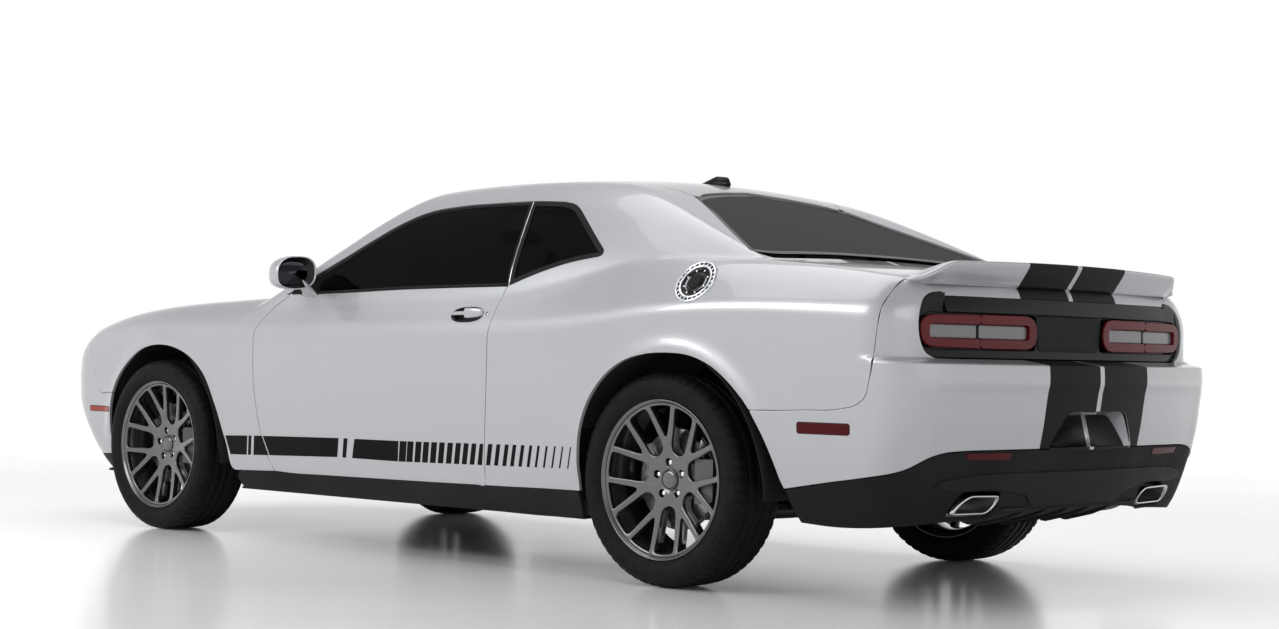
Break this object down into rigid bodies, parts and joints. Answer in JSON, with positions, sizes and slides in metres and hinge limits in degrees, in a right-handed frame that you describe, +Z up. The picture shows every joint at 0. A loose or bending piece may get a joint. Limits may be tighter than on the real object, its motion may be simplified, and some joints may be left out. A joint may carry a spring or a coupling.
{
  "type": "two-door muscle coupe",
  "caption": "Retro two-door rear-drive muscle coupe with hollow cabin, opening doors, hood and boot lid, steered front wheels and a rear spoiler.",
  "frame": {"origin": "on the ground under the middle of the car's length and width", "axes": "+Z up, nose points to -Y, the car's left side is +X"},
  "size_m": [2.196, 5.0208, 1.4489],
  "materials": {
    "body_paint": "pearl silver-white clearcoat",
    "black_trim": "satin black moulded plastic",
    "gloss_black": "gloss black",
    "side_glass": "dark tinted glass",
    "screen_glass": "tinted glass",
    "lamp_lens": "clear lens",
    "red_lens": "red lamp lens",
    "tyre": "black rubber",
    "gunmetal": "dark chrome cast wheel",
    "steel": "bare steel",
    "cast_iron": "cast and forged parts",
    "underbody": "dark underbody coating",
    "leather": "black leather"
  },
  "bodies": {
    "car_body": {"front_fender_left": "body_paint", "quarter_panel_left": "body_paint", "front_fender_right": "body_paint", "quarter_panel_right": "body_paint", "roof": "body_paint", "windscreen": "screen_glass", "rear_glass": "screen_glass", "quarter_glass": "side_glass", "front_bumper": "body_paint", "grille": "black_trim", "headlights": "lamp_lens", "rear_valance": "black_trim", "rear_bumper": "body_paint", "tail_panel": "gloss_black", "tail_lights": "red_lens", "side_skirts": "black_trim", "floor_pan": "underbody", "boot_floor": "underbody", "parcel_shelf": "black_trim", "cowl": "black_trim", "engine_bay": "underbody", "engine": "cast_iron", "dashboard": "black_trim", "front_seats": "leather", "rear_seat": "leather", "front_subframe": "cast_iron", "rear_axle": "cast_iron", "exhaust": "steel"},
    "knuckle_left": {"knuckle_front_left": "cast_iron"},
    "wheel_front_left": {"tyre_front_left": "tyre", "rim_front_left": "gunmetal", "brake_disc_front_left": "steel"},
    "wheel_rear_left": {"tyre_rear_left": "tyre", "rim_rear_left": "gunmetal", "brake_disc_rear_left": "steel"},
    "left_door": {"door_left": "body_paint", "door_glass_left": "side_glass", "mirror_left": "body_paint"},
    "knuckle_right": {"knuckle_front_right": "cast_iron"},
    "wheel_front_right": {"tyre_front_right": "tyre", "rim_front_right": "gunmetal", "brake_disc_front_right": "steel"},
    "wheel_rear_right": {"tyre_rear_right": "tyre", "rim_rear_right": "gunmetal", "brake_disc_rear_right": "steel"},
    "right_door": {"door_right": "body_paint", "door_glass_right": "side_glass", "mirror_right": "body_paint"},
    "hood_panel": {"hood": "body_paint"},
    "boot_lid": {"trunk_lid": "body_paint", "spoiler": "body_paint"},
    "steering": {"steering_wheel": "leather"}
  },
  "joints": [
    {"name": "steer_left", "type": "hinge", "parent": "car_body", "child": "knuckle_left", "pos_m": [0.7, -1.576, 0.362], "axis": [0, 0, 1], "range_deg": [-33, 33]},
    {"name": "spin_front_left", "type": "hinge", "parent": "knuckle_left", "child": "wheel_front_left", "pos_m": [0.8, -1.576, 0.362], "axis": [1, 0, 0], "continuous": true},
    {"name": "spin_rear_left", "type": "hinge", "parent": "car_body", "child": "wheel_rear_left", "pos_m": [0.812, 1.37, 0.362], "axis": [1, 0, 0], "continuous": true},
    {"name": "door_left_hinge", "type": "hinge", "parent": "car_body", "child": "left_door", "pos_m": [0.922, -0.8, 0.62], "axis": [0, 0, -1], "range_deg": [0, 65]},
    {"name": "steer_right", "type": "hinge", "parent": "car_body", "child": "knuckle_right", "pos_m": [-0.7, -1.576, 0.362], "axis": [0, 0, 1], "range_deg": [-33, 33]},
    {"name": "spin_front_right", "type": "hinge", "parent": "knuckle_right", "child": "wheel_front_right", "pos_m": [-0.8, -1.576, 0.362], "axis": [1, 0, 0], "continuous": true},
    {"name": "spin_rear_right", "type": "hinge", "parent": "car_body", "child": "wheel_rear_right", "pos_m": [-0.812, 1.37, 0.362], "axis": [1, 0, 0], "continuous": true},
    {"name": "door_right_hinge", "type": "hinge", "parent": "car_body", "child": "right_door", "pos_m": [-0.922, -0.8, 0.62], "axis": [0, 0, 1], "range_deg": [0, 65]},
    {"name": "hood_hinge", "type": "hinge", "parent": "car_body", "child": "hood_panel", "pos_m": [0, -1.03, 1.024], "axis": [-1, 0, 0], "range_deg": [0, 50]},
    {"name": "boot_hinge", "type": "hinge", "parent": "car_body", "child": "boot_lid", "pos_m": [0, 1.592, 1.112], "axis": [1, 0, 0], "range_deg": [0, 75]},
    {"name": "steering_turn", "type": "hinge", "parent": "car_body", "child": "steering", "pos_m": [0.37, -0.38, 0.86], "axis": [0, 0.9272, 0.3746], "range_deg": [-495, 495]}
  ],
  "couplings": [
    {"joint": "steer_right", "follows": "steer_left", "ratio": 1},
    {"joint": "steering_turn", "follows": "steer_left", "ratio": 15}
  ]
}
